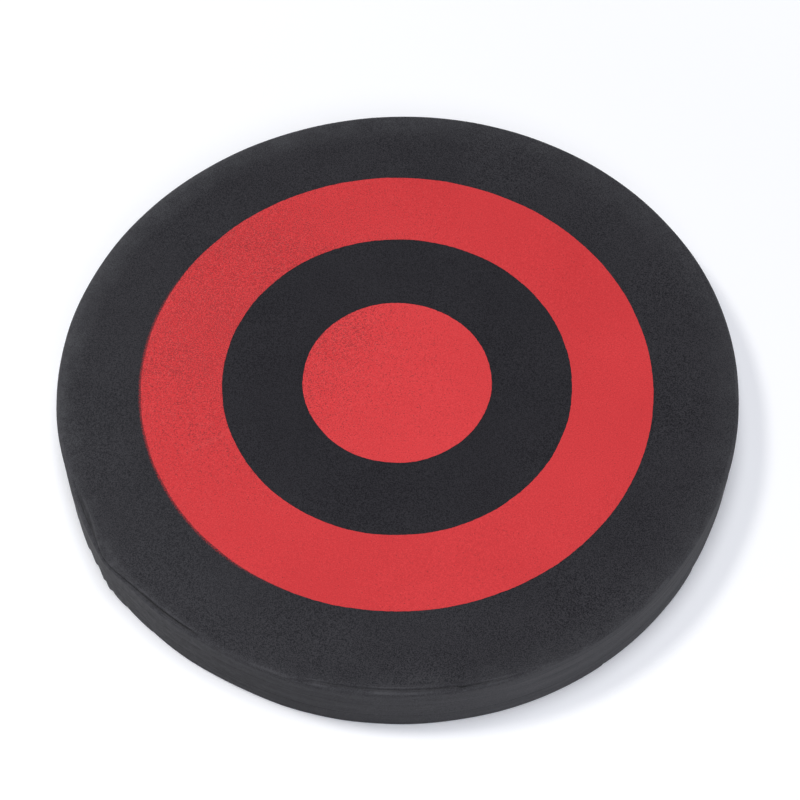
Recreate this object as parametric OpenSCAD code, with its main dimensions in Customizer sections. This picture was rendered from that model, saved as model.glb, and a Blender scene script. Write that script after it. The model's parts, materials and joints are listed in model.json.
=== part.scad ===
// Round foam kick target: a laminated foam disc with a printed bullseye on its
// striking face. Two wells cut through the rear layer hold a padded hand strap
// and a forearm strap, so that the disc lies flat on its rear face.
// The origin is the centre of the rear face. +Z runs through the striking face
// and +Y runs from the forearm strap to the hand strap. All sizes are in mm.

/* [Pad] */
// Diameter of the disc
pad_d = 380; // [370:1:420]
// Thickness of the striking layer
front_t = 13; // [10:0.5:16]
// Thickness of the middle layer
core_t = 13; // [10:0.5:16]
// Thickness of the rear layer, which is the depth of the strap wells
back_t = 12; // [12:0.5:15]
// Radius of the rolled edge round the striking face
face_edge_r = 3; // [1:0.5:6]
// Radius of the softened edge round the rear face
rear_edge_r = 1; // [0.5:0.5:3]

/* [Bullseye] */
// Outer diameter of the printed ring
ring_outer_d = 286; // [260:1:300]
// Inner diameter of the printed ring
ring_inner_d = 195.6; // [160:0.2:220]
// Diameter of the printed centre dot
dot_d = 105.6; // [80:0.2:140]
// How far the print sits off the disc's centre along X
print_shift = -0.6; // [-3:0.1:3]
// Thickness of the ink film
ink_t = 0.2; // [0.1:0.1:0.5]

/* [Strap wells] */
// Distance of each strap from the disc's centre
strap_offset = 75; // [70:1:80]
// Length of the hand well along X
hand_well_l = 150; // [140:1:160]
// Length of the forearm well along X
arm_well_l = 170; // [165:1:180]
// Width of both wells along Y
well_w = 84; // [76:1:90]
// Corner radius of both wells
well_r = 9; // [4:1:20]

/* [Straps] */
// Width of the elastic hand band
band_w = 38; // [30:1:42]
// Width of the forearm webbing
webbing_w = 50; // [40:1:56]
// Thickness of the elastic band and of the webbing
strap_t = 1.8; // [1.4:0.1:2]
// Length of each strap end that is held between the foam layers
tail_l = 46; // [30:1:50]
// Length of the padded grip sleeve
sleeve_l = 96; // [80:1:104]
// Width of the padded grip sleeve
sleeve_w = 46; // [44:1:52]
// Thickness of the padded grip sleeve
sleeve_t = 6.5; // [6.2:0.1:7]
// Length of the hook patch on the forearm strap
hook_l = 50; // [30:1:56]
// Length of the loop patch in the forearm well
loop_l = 68; // [50:1:76]

/* [Hidden] */

$fn = 96;
foam_color = [0.17, 0.17, 0.18];
core_color = [0.20, 0.20, 0.22];
ink_color = [0.83, 0.23, 0.26];
fabric_color = [0.08, 0.08, 0.09];
tape_color = [0.12, 0.12, 0.13];
thread_color = [0.30, 0.30, 0.32];

pad_r = pad_d / 2;
pad_t = back_t + core_t + front_t;

// A strap end lies in a pocket under the middle layer: thread, strap, anchor patch
anchor_t = 0.8;
thread_t = 0.4;
thread_w = 0.8;
stitch_inset = 2;
anchor_gap = 0.2;
tail_top = back_t - anchor_gap - anchor_t;
tail_mid = tail_top - strap_t / 2;
pocket_depth = anchor_gap + anchor_t + strap_t + thread_t + 0.2;
pocket_side = 1;

// The grip sleeve hangs just clear of the plane that the disc lies on
rest_gap = 0.5;
cover_t = 1.1;
sleeve_edge_r = 2.4;
cavity_h = sleeve_t - 2 * cover_t;
cavity_w = sleeve_w - 2 * cover_t - 0.4;
band_z = rest_gap + cover_t;
band_mid = band_z + strap_t / 2;
hand_end_x = hand_well_l / 2;
side_start_x = hand_end_x - 0.5;
side_end_x = sleeve_l / 2 + 0.3;

// The forearm strap turns about a line a little way inside the end of its well
arm_end_x = arm_well_l / 2;
turn_x = arm_end_x - 11;
turn_gap = 2.8;
backing_t = 1.5;
loop_t = 1.5;
hook_t = 1.4;
mesh_gap = 0.3;
flap_top = back_t - backing_t - loop_t - thread_t - mesh_gap - hook_t;
flap_z = flap_top - strap_t;
ramp_l = 14;
loop_x = -arm_end_x + 7;
backing_l = loop_l + 6;
tape_w = webbing_w - 2;
hook_x = loop_x + 8;
fold_l = 14;
flap_tip_x = hook_x - fold_l / 2;

// Rounded rectangle centred on the origin
module rounded_rect(len, wid, r) {
  square([len - 2 * r, wid], center = true);
  square([len, wid - 2 * r], center = true);
  for (sx = [-1, 1], sy = [-1, 1])
    translate([sx * (len / 2 - r), sy * (wid / 2 - r)]) circle(r);
}

// Foam disc from z = 0, with its top and bottom outer edges rounded to r_top and r_bottom
module foam_disc(t, r_top, r_bottom) {
  rotate_extrude($fn = 180) {
    translate([0, r_bottom]) square([pad_r, t - r_top - r_bottom]);
    square([pad_r - max(r_top, r_bottom), t]);
    if (r_top > 0) translate([pad_r - r_top, t - r_top]) circle(r_top);
    if (r_bottom > 0) translate([pad_r - r_bottom, r_bottom]) circle(r_bottom);
  }
}

// Extrudes a side view, drawn in X and Z, to a strap of the given width along Y
module strap(side, wid, y) {
  translate([0, y, 0])
    rotate([90, 0, 0])
      linear_extrude(height = wid, center = true) polygon(side);
}

// Flat block from x0 to x1 and from z0 upwards, centred on y
module tape(x0, x1, wid, y, z0, t) {
  translate([x0, y - wid / 2, z0]) cube([x1 - x0, wid, t]);
}

// Rectangle of stitching, its thread inset from the edges of the tape it holds
module stitch_frame(x0, x1, wid, y, z0) {
  inner = stitch_inset + thread_w;
  difference() {
    tape(x0 + stitch_inset, x1 - stitch_inset, wid - 2 * stitch_inset, y, z0, thread_t);
    tape(x0 + inner, x1 - inner, wid - 2 * inner, y, z0 - 1, thread_t + 2);
  }
}

// Box of stitching with a cross in it
module stitch_box(x0, x1, wid, y, z0) {
  span_x = x1 - x0 - 2 * stitch_inset - thread_w;
  span_y = wid - 2 * stitch_inset - thread_w;
  slant = atan2(span_y, span_x);
  stitch_frame(x0, x1, wid, y, z0);
  for (way = [-1, 1])
    translate([(x0 + x1) / 2, y, z0 + thread_t / 2])
      rotate([0, 0, way * slant])
        cube([norm([span_x, span_y]) - thread_w, thread_w, thread_t], center = true);
}

// Pocket in the top of the rear layer, open into the well at x0
module tail_pocket(x0, x1, wid, y) {
  w = wid + 2 * pocket_side;
  tape(x0 - 1, x1 + pocket_side, w, y, back_t - pocket_depth, pocket_depth + 1);
}

module front_foam() {
  color(foam_color) translate([0, 0, back_t + core_t]) foam_disc(front_t, face_edge_r, 0);
}

module core_foam() {
  color(core_color) translate([0, 0, back_t]) foam_disc(core_t, 0, 0);
}

module back_foam() {
  color(foam_color) difference() {
    foam_disc(back_t, 0, rear_edge_r);
    translate([0, strap_offset, -1]) linear_extrude(back_t + 2)
      rounded_rect(hand_well_l, well_w, well_r);
    translate([0, -strap_offset, -1]) linear_extrude(back_t + 2)
      rounded_rect(arm_well_l, well_w, well_r);
    for (turn = [0, 1]) mirror([turn, 0, 0])
      tail_pocket(hand_end_x, hand_end_x + tail_l, band_w, strap_offset);
    tail_pocket(arm_end_x, arm_end_x + tail_l, webbing_w, -strap_offset);
  }
}

module target_ring() {
  color(ink_color) translate([print_shift, 0, pad_t]) difference() {
    cylinder(h = ink_t, d = ring_outer_d, $fn = 180);
    translate([0, 0, -1]) cylinder(h = ink_t + 2, d = ring_inner_d, $fn = 180);
  }
}

module target_dot() {
  color(ink_color) translate([print_shift, 0, pad_t]) cylinder(h = ink_t, d = dot_d, $fn = 180);
}

module hand_band_tails() {
  color(fabric_color) for (turn = [0, 1]) mirror([turn, 0, 0])
    tape(hand_end_x, hand_end_x + tail_l, band_w, strap_offset, tail_mid - strap_t / 2, strap_t);
}

module hand_band_sides() {
  side = [
    [side_start_x, tail_mid + strap_t / 2], [side_start_x, tail_mid - strap_t / 2],
    [side_end_x, band_mid - strap_t / 2], [side_end_x, band_mid + strap_t / 2]
  ];
  color(fabric_color) for (turn = [0, 1]) mirror([turn, 0, 0]) strap(side, band_w, strap_offset);
}

module hand_band_middle() {
  color(fabric_color) tape(-sleeve_l / 2, sleeve_l / 2, band_w, strap_offset, band_z, strap_t);
}

// End view of the sleeve, drawn in Y and Z
module sleeve_outline() {
  translate([0, rest_gap + sleeve_t / 2]) rounded_rect(sleeve_w, sleeve_t, sleeve_edge_r);
}

module grip_cover() {
  color(tape_color) translate([0, strap_offset, 0]) rotate([90, 0, 90])
    linear_extrude(height = sleeve_l, center = true) difference() {
      sleeve_outline();
      translate([-cavity_w / 2, rest_gap + cover_t]) square([cavity_w, cavity_h]);
    }
}

module grip_foam() {
  color(core_color)
    tape(-sleeve_l / 2 + 2, sleeve_l / 2 - 2, cavity_w - 1, strap_offset,
         band_z + strap_t, cavity_h - strap_t);
}

module grip_stitching() {
  seam_y = band_w / 2 + 0.6;
  color(thread_color) for (sy = [-1, 1])
    tape(-sleeve_l / 2 + 2, sleeve_l / 2 - 2, thread_w, strap_offset + sy * (seam_y - thread_w / 2),
         rest_gap - thread_t, thread_t);
}

module hand_anchor_right() {
  color(tape_color)
    tape(hand_end_x + 1, hand_end_x + tail_l, band_w, strap_offset, tail_top, anchor_t);
}

module hand_anchor_left() {
  mirror([1, 0, 0]) hand_anchor_right();
}

module hand_anchor_stitching() {
  color(thread_color) for (turn = [0, 1]) mirror([turn, 0, 0])
    stitch_box(hand_end_x + 2, hand_end_x + tail_l, band_w, strap_offset, tail_top - strap_t - thread_t);
}

// Round edge along Y, as thick as a strap
module round_edge(x, wid, y, z) {
  translate([x, y, z]) rotate([90, 0, 0]) cylinder(h = wid, d = strap_t, center = true, $fn = 48);
}

module arm_strap_tail() {
  edge_x = turn_x + turn_gap;
  color(fabric_color) union() {
    tape(edge_x, arm_end_x + tail_l, webbing_w, -strap_offset, tail_top - strap_t, strap_t);
    round_edge(edge_x, webbing_w, -strap_offset, tail_mid);
  }
}

module arm_strap_flap() {
  flat_x = turn_x - ramp_l;
  side = [
    [turn_x, tail_top], [turn_x, tail_top - strap_t],
    [flat_x, flap_z], [hook_x + fold_l, flap_z],
    [hook_x + fold_l, flap_z - strap_t], [flap_tip_x, flap_z - strap_t],
    [flap_tip_x, flap_top], [flat_x, flap_top]
  ];
  color(fabric_color) union() {
    strap(side, webbing_w, -strap_offset);
    round_edge(turn_x, webbing_w, -strap_offset, tail_mid);
  }
}

module hook_patch() {
  color(tape_color) tape(hook_x, hook_x + hook_l, tape_w, -strap_offset, flap_top, hook_t);
}

module hook_patch_stitching() {
  color(thread_color)
    stitch_frame(hook_x + fold_l, hook_x + hook_l, tape_w, -strap_offset, flap_z - thread_t);
}

module loop_backing() {
  color(fabric_color)
    tape(loop_x - 3, loop_x + backing_l - 3, webbing_w + 6, -strap_offset, back_t - backing_t, backing_t);
}

module loop_patch() {
  color(tape_color)
    tape(loop_x, loop_x + loop_l, tape_w, -strap_offset, back_t - backing_t - loop_t, loop_t);
}

module loop_patch_stitching() {
  color(thread_color)
    stitch_frame(loop_x, loop_x + loop_l, tape_w, -strap_offset,
                 back_t - backing_t - loop_t - thread_t);
}

module arm_anchor() {
  color(tape_color)
    tape(arm_end_x + 1, arm_end_x + tail_l, webbing_w, -strap_offset, tail_top, anchor_t);
}

module arm_anchor_stitching() {
  color(thread_color)
    stitch_box(arm_end_x + 2, arm_end_x + tail_l, webbing_w, -strap_offset,
               tail_top - strap_t - thread_t);
}

front_foam();
core_foam();
back_foam();
target_ring();
target_dot();
hand_band_tails();
hand_band_sides();
hand_band_middle();
grip_cover();
grip_foam();
grip_stitching();
hand_anchor_left();
hand_anchor_right();
hand_anchor_stitching();
arm_strap_tail();
arm_strap_flap();
hook_patch();
hook_patch_stitching();
loop_backing();
loop_patch();
loop_patch_stitching();
arm_anchor();
arm_anchor_stitching();
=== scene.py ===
import json
import math

import bmesh
import bpy
import numpy as np
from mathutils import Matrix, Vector, noise
from mathutils.geometry import delaunay_2d_cdt


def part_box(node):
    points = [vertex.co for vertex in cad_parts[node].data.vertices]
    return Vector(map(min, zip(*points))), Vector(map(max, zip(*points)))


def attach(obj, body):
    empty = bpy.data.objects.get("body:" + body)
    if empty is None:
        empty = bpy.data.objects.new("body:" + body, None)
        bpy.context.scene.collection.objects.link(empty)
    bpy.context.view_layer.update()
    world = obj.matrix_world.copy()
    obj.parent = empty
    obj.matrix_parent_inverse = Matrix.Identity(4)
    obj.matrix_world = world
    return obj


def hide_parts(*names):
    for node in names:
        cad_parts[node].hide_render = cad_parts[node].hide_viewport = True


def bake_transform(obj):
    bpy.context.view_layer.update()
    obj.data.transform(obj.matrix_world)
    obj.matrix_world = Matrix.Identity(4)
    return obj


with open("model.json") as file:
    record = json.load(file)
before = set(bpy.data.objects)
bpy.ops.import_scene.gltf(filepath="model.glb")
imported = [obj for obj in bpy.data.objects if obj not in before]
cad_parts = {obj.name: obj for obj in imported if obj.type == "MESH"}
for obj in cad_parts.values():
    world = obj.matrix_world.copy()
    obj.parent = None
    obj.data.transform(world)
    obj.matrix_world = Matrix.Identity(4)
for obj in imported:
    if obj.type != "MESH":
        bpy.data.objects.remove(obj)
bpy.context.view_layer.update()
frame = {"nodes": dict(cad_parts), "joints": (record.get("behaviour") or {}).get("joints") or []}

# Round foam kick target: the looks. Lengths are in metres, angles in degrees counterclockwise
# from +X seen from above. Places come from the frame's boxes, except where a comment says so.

MM = 0.001

# ------------------------ places taken from the frame

FRONT_LOW, FRONT_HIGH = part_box("front_foam")
CORE_LOW, CORE_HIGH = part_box("core_foam")
BACK_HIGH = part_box("back_foam")[1]
RING_LOW, RING_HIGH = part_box("target_ring")
DOT_LOW, DOT_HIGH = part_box("target_dot")
SLEEVE_LOW, SLEEVE_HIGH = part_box("grip_cover")
TAILS_LOW, TAILS_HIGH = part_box("hand_band_tails")
BAND_LOW, BAND_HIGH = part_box("hand_band_middle")
ARM_TAIL_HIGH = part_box("arm_strap_tail")[1]
FLAP_LOW, FLAP_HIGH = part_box("arm_strap_flap")
HOOK_LOW, HOOK_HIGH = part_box("hook_patch")
LOOP_LOW, LOOP_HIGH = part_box("loop_patch")

PAD_R = FRONT_HIGH.x
FACE_Z = FRONT_HIGH.z
PRINT_X = (RING_LOW.x + RING_HIGH.x) / 2
RING_OUTER_R = (RING_HIGH.x - RING_LOW.x) / 2
DOT_R = (DOT_HIGH.x - DOT_LOW.x) / 2
HAND_Y = (SLEEVE_LOW.y + SLEEVE_HIGH.y) / 2
ARM_Y = (FLAP_LOW.y + FLAP_HIGH.y) / 2
STRAP_T = TAILS_HIGH.z - TAILS_LOW.z
TAIL_MID_Z = (TAILS_LOW.z + TAILS_HIGH.z) / 2
BAND_W = TAILS_HIGH.y - TAILS_LOW.y
WEBBING_W = FLAP_HIGH.y - FLAP_LOW.y

# No box shows these: the inner edge of the printed ring, and the two wells in the rear layer
RING_INNER_R = 97.8 * MM
WELL_W = 84 * MM
WELL_CORNER = 9 * MM
HAND_WELL_L = 150 * MM
ARM_WELL_L = 170 * MM

# ------------------------ small helpers


def bump(angle, centre, width):
    """A smooth rise from 0 to 1 round the disc at centre, falling away over width degrees."""
    away = (np.asarray(angle) - centre + 180) % 360 - 180
    return np.exp(-((away / width) ** 2))


def smooth(x, low, high):
    """0 below low and 1 above high, with a smooth step between."""
    t = np.clip((np.asarray(x, float) - low) / (high - low), 0, 1)
    return t * t * (3 - 2 * t)


def wobble(points, scale, seed=0.0):
    """Smooth noise from about -1 to 1 at each point, with features of about 1 / scale metres."""
    offset = Vector((seed, seed * 1.7, seed * 2.3))
    return np.array([noise.noise(Vector(p) * scale + offset) for p in points])


def mesh_piece(name, points, faces, material, shade_smooth=True):
    """A new mesh object at the origin, with its normals made to point outwards."""
    mesh = bpy.data.meshes.new(name)
    mesh.from_pydata([tuple(p) for p in points], [], [tuple(f) for f in faces])
    mesh.validate()
    shell = bmesh.new()
    shell.from_mesh(mesh)
    bmesh.ops.recalc_face_normals(shell, faces=shell.faces)
    shell.to_mesh(mesh)
    shell.free()
    if shade_smooth:
        mesh.polygons.foreach_set("use_smooth", [True] * len(mesh.polygons))
    mesh.set_sharp_from_angle(angle=math.radians(50))
    mesh.materials.append(material)
    piece = bpy.data.objects.new(name, mesh)
    bpy.context.scene.collection.objects.link(piece)
    return piece


def grid_faces(rows, columns, start=0, closed=True):
    """Quads between the rows of a grid of points stored row by row."""
    faces = []
    for row in range(rows - 1):
        for column in range(columns if closed else columns - 1):
            after = (column + 1) % columns
            a = start + row * columns
            b = a + columns
            faces.append((a + column, a + after, b + after, b + column))
    return faces


# ------------------------ materials


class Nodes:
    """Builds one procedural material: each method adds a node and returns its output."""

    def __init__(self, name, slot, roughness, **constants):
        self.material = bpy.data.materials.new(name)
        self.material.use_nodes = True
        self.slot = slot
        self.tree = self.material.node_tree
        self.shader = self.tree.nodes["Principled BSDF"]
        self.shader.inputs["Roughness"].default_value = roughness
        for socket, value in constants.items():
            self.shader.inputs[socket.replace("_", " ")].default_value = value
        self.place = self.add("ShaderNodeTexCoord").outputs["Object"]

    def add(self, kind, **links):
        node = self.tree.nodes.new(kind)
        for socket, value in links.items():
            self.put(node.inputs[socket.replace("_", " ")], value)
        return node

    def put(self, socket, value):
        if isinstance(value, bpy.types.NodeSocket):
            self.tree.links.new(value, socket)
        else:
            socket.default_value = value

    def noise(self, scale, detail=2.0, rough=0.5, place=None):
        node = self.add("ShaderNodeTexNoise", Scale=scale, Detail=detail, Roughness=rough)
        self.put(node.inputs["Vector"], place or self.place)
        return node.outputs["Fac"]

    def cells(self, scale, place=None):
        node = self.add("ShaderNodeTexVoronoi", Scale=scale)
        self.put(node.inputs["Vector"], place or self.place)
        return node.outputs["Distance"]

    def math(self, operation, a, b=0.0, clamp=False):
        node = self.tree.nodes.new("ShaderNodeMath")
        node.operation = operation
        node.use_clamp = clamp
        self.put(node.inputs[0], a)
        self.put(node.inputs[1], b)
        return node.outputs[0]

    def times(self, a, b):
        return self.math("MULTIPLY", a, b)

    def plus(self, a, b, clamp=False):
        return self.math("ADD", a, b, clamp)

    def spread(self, value, low, high, to_low=0.0, to_high=1.0):
        """Maps value from low..high to to_low..to_high, clamped and smooth."""
        node = self.add("ShaderNodeMapRange", Value=value)
        node.interpolation_type = "SMOOTHSTEP"
        for index, number in enumerate((low, high, to_low, to_high), start=1):
            self.put(node.inputs[index], number)
        return node.outputs["Result"]

    def mix(self, factor, a, b):
        node = self.tree.nodes.new("ShaderNodeMix")
        node.data_type = "RGBA"
        self.put(node.inputs["Factor"], factor)
        self.put(node.inputs["A"], a if isinstance(a, bpy.types.NodeSocket) else (*a, 1))
        self.put(node.inputs["B"], b if isinstance(b, bpy.types.NodeSocket) else (*b, 1))
        return node.outputs["Result"]

    def xyz(self, vector=None):
        node = self.add("ShaderNodeSeparateXYZ", Vector=vector or self.place)
        return node.outputs["X"], node.outputs["Y"], node.outputs["Z"]

    def stretched(self, x, y, z):
        node = self.add("ShaderNodeMapping", Vector=self.place)
        node.inputs["Scale"].default_value = (x, y, z)
        return node.outputs["Vector"]

    def from_point(self, x, y):
        """Distance across the disc from a point."""
        px, py, _ = self.xyz()
        dx = self.math("SUBTRACT", px, x)
        dy = self.math("SUBTRACT", py, y)
        return self.math("SQRT", self.plus(self.times(dx, dx), self.times(dy, dy)))

    def finish(self, colour, height=None, depth=0.0, strength=1.0):
        self.put(self.shader.inputs["Base Color"], colour)
        if height is not None:
            node = self.add("ShaderNodeBump", Height=height, Distance=depth, Strength=strength)
            self.put(self.shader.inputs["Normal"], node.outputs["Normal"])
        return self


INK_DARK = (0.550, 0.030, 0.035)
INK_LIGHT = (0.705, 0.049, 0.055)
FACE_DARK = (0.0080, 0.0076, 0.0105)
FACE_LIGHT = (0.0275, 0.0267, 0.0318)
HANDLED = (0.0425, 0.0415, 0.0475)
DUST_AND_PAINTED_LIGHT_DARK = (0.0340, 0.0345, 0.0385)
DUST_AND_PAINTED_LIGHT_PALE = (0.0640, 0.0645, 0.0710)
WALL_DARK = (0.0210, 0.0205, 0.0236)
WALL_LIGHT = (0.0490, 0.0483, 0.0536)
SCUFF_AND_HIGHLIGHT = (0.080, 0.079, 0.086)
PIT = (0.006, 0.006, 0.007)


def foam_cells(nodes):
    """The height of fine closed cells in a sueded foam surface, from 0 to 1."""
    fine = nodes.noise(2100, detail=0.5, rough=0.6)
    coarse = nodes.noise(1250, detail=0.0)
    return nodes.plus(nodes.times(fine, 0.75), nodes.times(coarse, 0.25))


def pores(nodes, amount):
    """1 at small open cells that any film over the foam leaves bare; amount is how many."""
    fine = nodes.noise(1450, detail=0.5, rough=0.6)
    edge = nodes.plus(amount, 0.07)
    return nodes.spread(fine, amount, edge, 1.0, 0.0)


def foam_face(nodes, cells, out):
    """The face's colour, from the height of its cells and the distance from its centre."""
    patches = nodes.noise(26, detail=3.0)
    speck = nodes.spread(nodes.plus(cells, nodes.times(patches, 0.12)), 0.38, 0.74)
    middle = nodes.mix(speck, FACE_DARK, FACE_LIGHT)

    # Handling has rubbed the outer part of the face a little paler than its middle
    handled = nodes.spread(out, 70 * MM, PAD_R)
    face = nodes.mix(handled, middle, nodes.mix(speck, FACE_DARK, HANDLED))

    # A band along the rim is paler still, in dust blotches, and it is made palest at the left as painted
    # light
    band = nodes.spread(out, PAD_R - 21 * MM, PAD_R - 1 * MM)
    side = nodes.spread(nodes.from_point(-150 * MM, 90 * MM), 90 * MM, 240 * MM, 0.90, 0.38)
    dust = nodes.spread(nodes.noise(75, detail=4.0, rough=0.65), 0.34, 0.70, 0.62, 1.25)
    dust_and_painted_light = nodes.times(nodes.times(band, side), dust)
    # Painted light: the outer face is also made paler towards the lower left, where the key light falls
    painted_light_lower_left = nodes.spread(nodes.from_point(-150 * MM, -100 * MM), 60 * MM, 290 * MM, 0.27, 0.0)
    dust_and_painted_light = nodes.math("MAXIMUM", dust_and_painted_light, nodes.times(painted_light_lower_left, handled))
    return nodes.mix(dust_and_painted_light, face, nodes.mix(speck, DUST_AND_PAINTED_LIGHT_DARK, DUST_AND_PAINTED_LIGHT_PALE))


def foam_wall(nodes, cells, streaks, right):
    """The skived wall's colour: streaked along the rim, scuffed at the right, and darkened at the left as
    painted shade.
    """
    worn = nodes.plus(nodes.times(streaks, 0.5), cells)
    wall = nodes.mix(nodes.spread(worn, 0.58, 0.92), WALL_DARK, WALL_LIGHT)
    wall = nodes.mix(nodes.times(right, 0.36), wall, SCUFF_AND_HIGHLIGHT)
    # Painted shade: the wall is made darker towards its left, against the key light that falls on it there
    left = nodes.spread(nodes.from_point(-125 * MM, -135 * MM), 50 * MM, 165 * MM, 0.85, 0.0)
    return nodes.mix(left, wall, WALL_DARK)


def wall_share(nodes, up, streaks, right):
    """How much of the wall's colour shows, from how far up the surface faces."""
    z = nodes.xyz()[2]
    down = nodes.plus(nodes.times(streaks, 12 * MM), z)
    paler = nodes.spread(down, FACE_Z - 8 * MM, FACE_Z + 5 * MM, 1.0, 0.45)
    paler = nodes.plus(paler, nodes.times(right, 0.4), clamp=True)
    return nodes.times(nodes.spread(up, 0.10, 0.98, 1.0, 0.0), paler)


def rub_and_highlight_edges(nodes, colour, up, out):
    """Rubs the edge of the face paler, and paints a pale line on the rolled edge that is partly wear and
    partly a painted highlight.
    """
    # The rolled edge gets a thin pale line, broken here and there: partly wear, partly a painted highlight
    # of a lit lip
    roll = nodes.times(nodes.spread(up, 0.45, 0.75), nodes.spread(up, 0.88, 0.99, 1.0, 0.0))
    broken = nodes.spread(nodes.noise(36, detail=3.0, rough=0.7), 0.40, 0.66, 0.1, 0.6)
    # Painted highlight: the pale line is kept fainter towards the upper left, where the key light already
    # lights the roll
    front = nodes.spread(nodes.from_point(60 * MM, -150 * MM), 120 * MM, 300 * MM, 1.0, 0.4)
    broken = nodes.times(broken, front)
    colour = nodes.mix(nodes.times(roll, broken), colour, SCUFF_AND_HIGHLIGHT)

    # The edge of the face is scuffed in blotches, most of all at its left
    rim = nodes.spread(out, PAD_R - 6 * MM, PAD_R - 2 * MM)
    side = nodes.spread(nodes.from_point(-160 * MM, 10 * MM), 110 * MM, 240 * MM, 1.0, 0.25)
    blotches = nodes.spread(nodes.noise(240, detail=4.0, rough=0.75), 0.36, 0.72, 0.1, 0.8)
    rubbed = nodes.times(nodes.times(rim, blotches), side)
    return nodes.mix(nodes.times(rubbed, 0.7), colour, SCUFF_AND_HIGHLIGHT)


def foam_material(name, slot):
    """Matt foam: a speckled face with painted light at its left, a paler streaked wall with painted shade
    at its left, rubbed edges with a painted highlight on the roll, and a few small pits.
    """
    nodes = Nodes(name, slot, 0.9, Sheen_Weight=0.05, Sheen_Roughness=0.6, Specular_IOR_Level=0.14)
    cells = foam_cells(nodes)
    out = nodes.from_point(0, 0)
    streaks = nodes.noise(9, detail=5.0, rough=0.75, place=nodes.stretched(1, 1, 30))
    right = nodes.spread(nodes.from_point(115 * MM, -145 * MM), 45 * MM, 120 * MM, 1.0, 0.0)
    normal = nodes.add("ShaderNodeNewGeometry").outputs["True Normal"]
    up = nodes.math("ABSOLUTE", nodes.xyz(normal)[2])

    face = foam_face(nodes, cells, out)
    wall = foam_wall(nodes, cells, streaks, right)
    colour = nodes.mix(wall_share(nodes, up, streaks, right), face, wall)
    colour = rub_and_highlight_edges(nodes, colour, up, out)

    rare = nodes.spread(nodes.noise(120, detail=0.0), 0.62, 0.66)
    pits = nodes.times(nodes.spread(nodes.cells(170), 0.05, 0.11, 1.0, 0.0), rare)
    colour = nodes.mix(nodes.times(pits, 0.6), colour, PIT)
    height = nodes.math("SUBTRACT", cells, nodes.times(pits, 0.8))
    return nodes.finish(colour, height, depth=0.30 * MM, strength=0.5)


def add_overspray(nodes, red):
    """Red specks on the foam just outside the ring, where the print strayed along its left."""
    out = nodes.from_point(PRINT_X, 0)
    close = nodes.spread(out, RING_OUTER_R, RING_OUTER_R + 2.2 * MM, 1.0, 0.0)
    close = nodes.times(close, nodes.math("GREATER_THAN", out, RING_OUTER_R - 2 * MM))
    _, _, z = nodes.xyz()
    close = nodes.times(close, nodes.math("GREATER_THAN", z, FACE_Z - 2 * MM))
    side = nodes.spread(nodes.from_point(-150 * MM, -40 * MM), 60 * MM, 150 * MM, 1.0, 0.0)
    reach = nodes.times(close, side)
    specks = nodes.noise(1500, detail=2.0, rough=0.7)
    shown = nodes.spread(nodes.plus(specks, nodes.times(reach, 0.20)), 0.52, 0.76)
    shown = nodes.times(shown, nodes.spread(reach, 0.0, 0.6))
    colour = nodes.shader.inputs["Base Color"]
    base = colour.links[0].from_socket
    nodes.put(colour, nodes.mix(nodes.times(shown, 0.55), base, red))


def ink_material():
    """Matt red print, thin where the foam's cells are open, most of all at its upper left."""
    nodes = Nodes("print_red", "ink", 0.66, Specular_IOR_Level=0.16, Sheen_Weight=0.03)
    tone = nodes.noise(14, detail=3.0)
    grain = nodes.noise(1500, detail=1.0, rough=0.6)
    shade = nodes.plus(nodes.times(tone, 0.25), nodes.times(grain, 0.75))
    shade = nodes.plus(shade, nodes.spread(nodes.from_point(0, 0), 50 * MM, 100 * MM, 0.12, 0.0))
    red = nodes.mix(nodes.spread(shade, 0.32, 0.80), INK_DARK, INK_LIGHT)

    # The ink is thin in two areas: over the ring's upper left, and at the upper left of the dot
    ring = nodes.spread(nodes.from_point(-110 * MM, 60 * MM), 25 * MM, 190 * MM, 1.0, 0.0)
    dot = nodes.spread(nodes.from_point(-36 * MM, 34 * MM), 8 * MM, 52 * MM, 1.0, 0.0)
    thin = nodes.math("MAXIMUM", ring, nodes.times(dot, 0.9))
    patch = nodes.spread(nodes.noise(30, detail=4.0, rough=0.65), 0.30, 0.70, 0.72, 1.0)
    worn = nodes.times(nodes.times(thin, patch), 0.22)
    amount = nodes.plus(worn, 0.235)
    bare = nodes.times(pores(nodes, amount), 0.50)
    red = nodes.mix(bare, red, (0.10, 0.016, 0.018))

    # Between the open cells the thin ink takes dust, as fine pale specks
    specks = nodes.spread(nodes.noise(1900, detail=1.0, rough=0.7), 0.52, 0.70)
    pale = nodes.times(specks, nodes.plus(nodes.times(thin, 0.20), 0.07))
    red = nodes.mix(pale, red, (0.92, 0.22, 0.22))

    # A faint pale scuff runs across the ring at its left
    x, y, _ = nodes.xyz()
    slant = nodes.math("SUBTRACT", nodes.times(y, 0.87), nodes.times(x, 0.49))
    away = nodes.math("ABSOLUTE", nodes.math("SUBTRACT", slant, 16.5 * MM))
    line = nodes.spread(away, 0, 3.0 * MM, 1, 0)
    near = nodes.spread(nodes.from_point(-103 * MM, -39 * MM), 6 * MM, 20 * MM, 1.0, 0.0)
    scuff = nodes.times(nodes.times(line, near), 0.045)
    red = nodes.mix(scuff, red, (0.75, 0.20, 0.19))

    height = nodes.math("SUBTRACT", foam_cells(nodes), nodes.times(bare, 0.5))
    return nodes.finish(red, height, depth=0.2 * MM, strength=0.4)


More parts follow.
